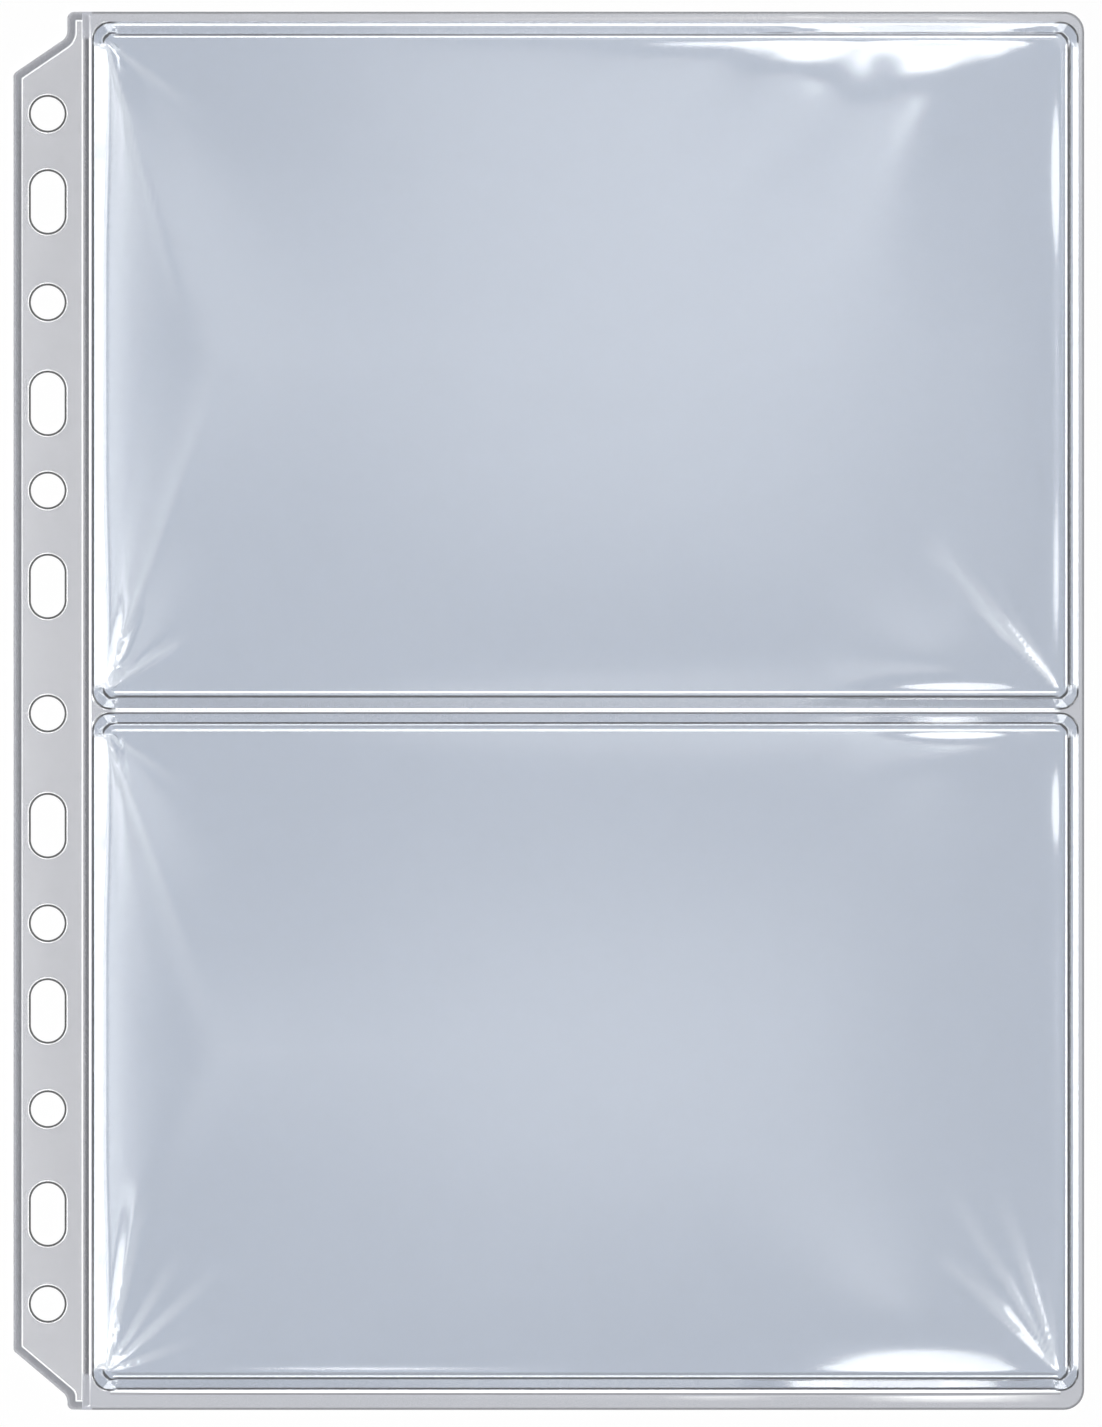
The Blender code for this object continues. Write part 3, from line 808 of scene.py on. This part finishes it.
def pocketRelief(name, x, y, inset, low, high):
    # heights over the flat film, with painted shade and painted highlight marks
    sides = {"left": x - low.x, "right": high.x - x, "bottom": y - low.y, "top": high.y - y}
    left = sides["left"]
    ends = np.minimum(sides["bottom"], sides["top"])
    welded = np.minimum(ends, sides["right"])

    def rise(side, reach):
        return 1 - np.exp(-np.clip(sides[side] - front["weldEnd"], 0, None) / reach)

    def fan(run, spread, depth):
        free = np.clip(ends - front["weldReturn"], 0, None) / (run + spread * depth)
        return 1 - np.exp(-front["fanRate"] * free ** 2)

    pillow = sum(
        height * rise("right", reach) * rise("bottom", reach) * rise("top", reach)
        for height, reach in front["pillow"]
    )
    pillow *= 1 - np.exp(-left / front["pillowReach"])
    # the lip rolls up along the free stretch of the mouth, and its ends fan out from the mouth's corners
    flare = np.exp(-(ends / front["flareReach"]) ** front["flarePower"])
    lipWidth = front["lipWidth"] + front["lipFlare"] * flare
    lipSlope = front["lipSlope"][0] + (front["lipSlope"][1] - front["lipSlope"][0]) * flare
    rolled = np.clip(left, front["lipEdge"], lipWidth) - front["lipEdge"]
    past = np.clip(left - lipWidth, 0, None)
    lip = lipSlope * (rolled + front["lipRound"] * (1 - np.exp(-past / front["lipRound"])))
    lip *= fan(front["lipRun"], front["lipSpread"], past) * np.exp(-past / front["lipFade"])
    mouth = front["mouthRise"] * (1 - np.exp(-past / front["mouthReach"]))
    mouth *= fan(front["lipRun"], front["mouthSpread"], past)
    mouth *= rise("right", front["mouthReach"])

    marks = np.zeros((3, len(x)))
    nearest = np.argmin([sides[side] for side in sides], axis=0)
    for k, side in enumerate(sides):
        place, *values = np.array(bands[bandSides[name][side]]).T
        for mark, value in zip(marks, values):
            mark[nearest == k] = np.interp(inset[nearest == k] / mm, place, value)
    band, paintedShade, paintedHighlight = marks
    band *= mm * np.exp(-np.clip(welded - front["weldEnd"], 0, None) / front["bandFade"])
    band += bandTilt(x, y, sides, inset, bandTilts[name])
    # the corner block brings its own painted shade and painted highlight
    share, height, dark, white = cornerBlock(sides, inset)
    share = share * (inset < front["weldEnd"])
    band += (height - band) * share
    paintedShade += (dark - paintedShade) * share
    paintedHighlight += (white - paintedHighlight) * share
    onMouth = left <= inset + drawing["touch"]
    bare = onMouth * np.clip((ends - front["weldReturn"]) / front["returnFade"], 0, 1)
    band *= 1 - bare
    paintedHighlight *= 1 - bare
    onLip = (left > front["lipEdge"]) & (left < lipWidth)
    # a painted highlight along the lip, strongest towards the mouth's corners
    paintedHighlight += front["lipHighlight"] * flare * onLip * bare
    # painted shade along the mouth's free edge
    paintedShade += (np.interp(inset / mm, *lipProfile) - paintedShade) * bare
    folded, foldHighlight = foldRelief(x, y, low, high, folds[name])
    loose = np.clip((np.minimum(welded, left + front["weldEnd"]) - front["weldEnd"]) / mm, 0, 1)
    slack = (folded + swellHeights(x, y, sides, swells[name])) * loose
    # the folds add their painted highlight
    return band + pillow + lip + mouth + slack, paintedShade, np.maximum(paintedHighlight, foldHighlight * loose)


def pocketSurface(name, low, high):
    nx, ny = front["cells"]
    reach = front["cornerReach"]
    xs = crowdedSteps(low.x + reach, high.x - reach, nx)
    ys = crowdedSteps(low.y + reach, high.y - reach, ny)
    insets = np.array(sorted({row[0] for band in bands.values() for row in band} | set(moreInsets))) * mm
    lines = [bandLine(low, high, xs, ys, inset) for inset in insets]
    count = len(lines[0])
    gridX, gridY = np.meshgrid(xs, ys)
    grid = np.column_stack([gridX.ravel(), gridY.ravel()])
    places = np.concatenate(lines + [grid])
    first = len(lines) * count
    cells = first + np.arange(gridX.size).reshape(gridX.shape)
    fan = front["cornerSteps"] - 1
    inner = np.concatenate([
        cells[0], np.repeat(cells[0, -1], fan), cells[:, -1], np.repeat(cells[-1, -1], fan),
        cells[-1, ::-1], np.repeat(cells[-1, 0], fan), cells[::-1, 0], np.repeat(cells[0, 0], fan),
    ])
    rows = [np.arange(count) + k * count for k in range(len(lines))] + [inner]
    faces = []
    for outerRow, innerRow in zip(rows, rows[1:]):
        ring = np.column_stack([outerRow, np.roll(outerRow, -1), np.roll(innerRow, -1), innerRow])
        faces += [face[:3] if face[2] == face[3] else face for face in ring.tolist()]
    squares = np.stack([cells[:-1, :-1], cells[:-1, 1:], cells[1:, 1:], cells[1:, :-1]], -1)
    faces += squares.reshape(-1, 4).tolist()
    x, y = places.T
    inset = np.concatenate([np.repeat(insets, count), np.full(len(grid), reach)])
    rise, paintedShade, paintedHighlight = pocketRelief(name, x, y, inset, low, high)
    mesh = bpy.data.meshes.new(name + "PocketSheet")
    mesh.from_pydata(np.column_stack([x, y, low.z + filmThickness + rise]).tolist(), [], faces)
    setMarks(mesh, paintedShade, paintedHighlight)
    return mesh


def makePockets():
    for name, pocket in pockets.items():
        low, high = pocket["film"]
        sheet = pocketSurface(name, low, high)
        sheet = filmPiece(name + "PocketSheet", sheet, filmThickness, [pocketFilm, cutEdge])
        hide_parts(name + "_front_film")
        middle, flatTop = (low.y + high.y) / 2, low.z + filmThickness
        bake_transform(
            sheet, "pocket_panel", name + "_front",
            start=(high.x - front["weldEnd"], middle, flatTop), end=(low.x, middle, flatTop),
        )
        # the welded top, bottom and mouth corners stay down when the mouth lifts
        ys = np.array([v.co.y for v in sheet.data.vertices])
        mark = sheet.data.attributes["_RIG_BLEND"]
        weights = np.zeros(len(ys), np.float32)
        mark.data.foreach_get("value", weights)
        share = np.clip((ys - low.y - front["weldReturn"]) / (high.y - low.y - 2 * front["weldReturn"]), 0, 1)
        lift = np.sin(np.pi * share) ** front["liftPower"]
        mark.data.foreach_set("value", (weights * lift).astype(np.float32))
        print(name, "pocket made:", len(sheet.data.polygons), "faces")


makePockets()

# floor, light and camera
studio = {
    "floorSize": 12.0, "floorDrop": 0.15 * mm, "floorGlow": 0.7, "paper": (0.96, 0.96, 0.96),
    "worldLight": 0.1, "cameraHeight": 3.0, "sensorWidth": 36.0, "clipEnd": 100.0,
    "imageSize": (1102, 1427), "pixelsPerMetre": 5548.0, "pageMiddlePixel": (548.75, 710.75),
}


def whiteForEye(start, share):
    # 1 for what the camera sees directly, in a reflection or through film, times a share
    eye = start.node("ShaderNodeLightPath", out="Is Camera Ray")
    glossy = start.node("ShaderNodeLightPath", out="Is Glossy Ray")
    through = start.node("ShaderNodeLightPath", out="Is Transmission Ray")
    return (eye + glossy + through).clamp() * share


def makeStudio():
    size = studio["floorSize"]
    mesh = bpy.data.meshes.new("floor")
    z = backLow.z - studio["floorDrop"]
    corners = [(-size, -size, z), (size, -size, z), (size, size, z), (-size, size, z)]
    mesh.from_pydata(corners, [], [(0, 1, 2, 3)])
    floor = bpy.data.objects.new("floor", mesh)
    bpy.context.collection.objects.link(floor)
    material, start = newMaterial("floorWhite")
    paper = start.node("ShaderNodeBsdfDiffuse", None, {"Color": (*studio["paper"], 1)})
    glow = start.node("ShaderNodeEmission", None, {"Color": (1, 1, 1, 1), "Strength": 1.0})
    white = whiteForEye(start, studio["floorGlow"])
    both = start.node("ShaderNodeMixShader", None, {0: white, 1: paper, 2: glow})
    start.node("ShaderNodeOutputMaterial", None, {"Surface": both})
    mesh.materials.append(material)

    world = bpy.data.worlds.new("studioWorld")
    world.use_nodes = True
    world.node_tree.nodes.clear()
    start = Wire(world.node_tree)
    strength = studio["worldLight"] + whiteForEye(start, 1 - studio["worldLight"])
    sky = start.node("ShaderNodeBackground", None, {"Color": (1, 1, 1, 1), "Strength": strength})
    start.node("ShaderNodeOutputWorld", None, {"Surface": sky})
    bpy.context.scene.world = world
    print("studio made")


# name: middle (x, y, z), size across and along in plan, brightness, turn in plan
# boxes show in flanks of about 20 degrees, panels in the pillow's edges and folds, glows in its flat middle
lampRows = {
    "leftBox": ((-0.755, 0, 0.9), (0.41, 0.46), 5.2, 0),
    "rightBox": ((0.755, 0, 0.9), (0.41, 0.46), 3.9, 0),
    "topBox": ((0, 0.757, 0.9), (0.46, 0.49), 3.9, 0),
    "bottomBox": ((0, -0.757, 0.9), (0.46, 0.49), 3.9, 0),
    "topPanel": ((0.09, 0.535, 1.2), (0.16, 0.32), 7.2, 0),
    "bottomPanel": ((0, -0.535, 1.2), (0.34, 0.29), 5.2, 0),
    "leftPanel": ((-0.5, 0, 1.2), (0.29, 0.8), 3.9, 0),
    "rightPanel": ((0.5, -0.05, 1.2), (0.29, 0.7), 4.6, 0),
    "leftGlow": ((-0.215, 0, 1.2), (0.07, 0.36), 2.9, 0),
    "upperGlow": ((0.015, 0.13, 1.2), (0.13, 0.2), 1.0, 0),
    "lowerGlow": ((0.015, -0.085, 1.2), (0.13, 0.09), 1.05, 0),
    "streakGlow": ((0.088, 0.14, 1.2), (0.045, 0.1), 4.2, -20),
}


def makeLamps():
    for name, (place, size, radiance, turn) in lampRows.items():
        lamp = bpy.data.lights.new(name, "AREA")
        lamp.shape = "RECTANGLE"
        lamp.size, lamp.size_y = size
        lamp.energy = radiance * math.pi * size[0] * size[1]
        box = bpy.data.objects.new(name, lamp)
        bpy.context.collection.objects.link(box)
        box.location = place  # each hangs level, facing down
        box.rotation_euler.z = math.radians(turn)
        box.visible_camera = False
    print("lamps hung:", len(lampRows))


def makeCamera():
    lens = bpy.data.cameras.new("camera")
    camera = bpy.data.objects.new("camera", lens)
    bpy.context.collection.objects.link(camera)
    width, height = studio["imageSize"]
    scale = studio["pixelsPerMetre"]
    lens.sensor_width = studio["sensorWidth"]
    lens.lens = lens.sensor_width * studio["cameraHeight"] / (height / scale)
    x = (width / 2 - studio["pageMiddlePixel"][0]) / scale
    y = -(height / 2 - studio["pageMiddlePixel"][1]) / scale
    camera.location = (x, y, studio["cameraHeight"])
    lens.clip_end = studio["clipEnd"]
    bpy.context.scene.camera = camera
    print("camera set at", tuple(round(v, 4) for v in camera.location))


makeStudio()
makeLamps()
makeCamera()
bpy.context.scene.view_settings.view_transform = "Standard"
